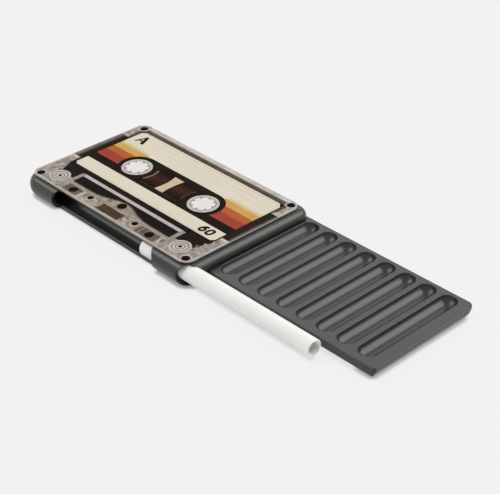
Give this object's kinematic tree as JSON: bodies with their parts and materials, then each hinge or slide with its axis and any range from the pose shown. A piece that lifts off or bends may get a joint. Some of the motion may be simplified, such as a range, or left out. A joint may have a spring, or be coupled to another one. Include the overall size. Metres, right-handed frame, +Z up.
{
  "type": "sliding tray case",
  "caption": "Flat pocket case in the form of an audio cassette, with a sliding tray of parallel troughs and a pull-out hollow tube in a side channel.",
  "frame": {"origin": "on the flat underside, which is what it stands on, below the middle of the face plate", "axes": "+X is the way the tray and the tube slide out, -Y is the side with the finger window, +Z is up through the printed face"},
  "size_m": [0.1926, 0.0696, 0.011],
  "materials": {
    "shell_plastic": "satin charcoal",
    "printed_plate": "glossy print",
    "adhesive": "clear matt",
    "white_plastic": "satin white",
    "magnet": "nickel plated",
    "steel": "turned",
    "felt": "black felt"
  },
  "bodies": {
    "case": {"upper_shell": "shell_plastic", "lower_shell": "shell_plastic", "face_plate": "printed_plate", "plate_adhesive": "adhesive", "closing_magnets": "magnet", "stop_pin": "steel", "grip_pad": "felt"},
    "tray": {"tray": "shell_plastic", "tray_keepers": "steel"},
    "tube": {"tube": "white_plastic"}
  },
  "joints": [
    {"name": "tray_slide", "type": "slide", "parent": "case", "child": "tray", "axis": [1, 0, 0], "range_m": [-0.0867, 0]},
    {"name": "tube_slide", "type": "slide", "parent": "case", "child": "tube", "axis": [1, 0, 0], "range_m": [-0.071, 0.019]}
  ]
}
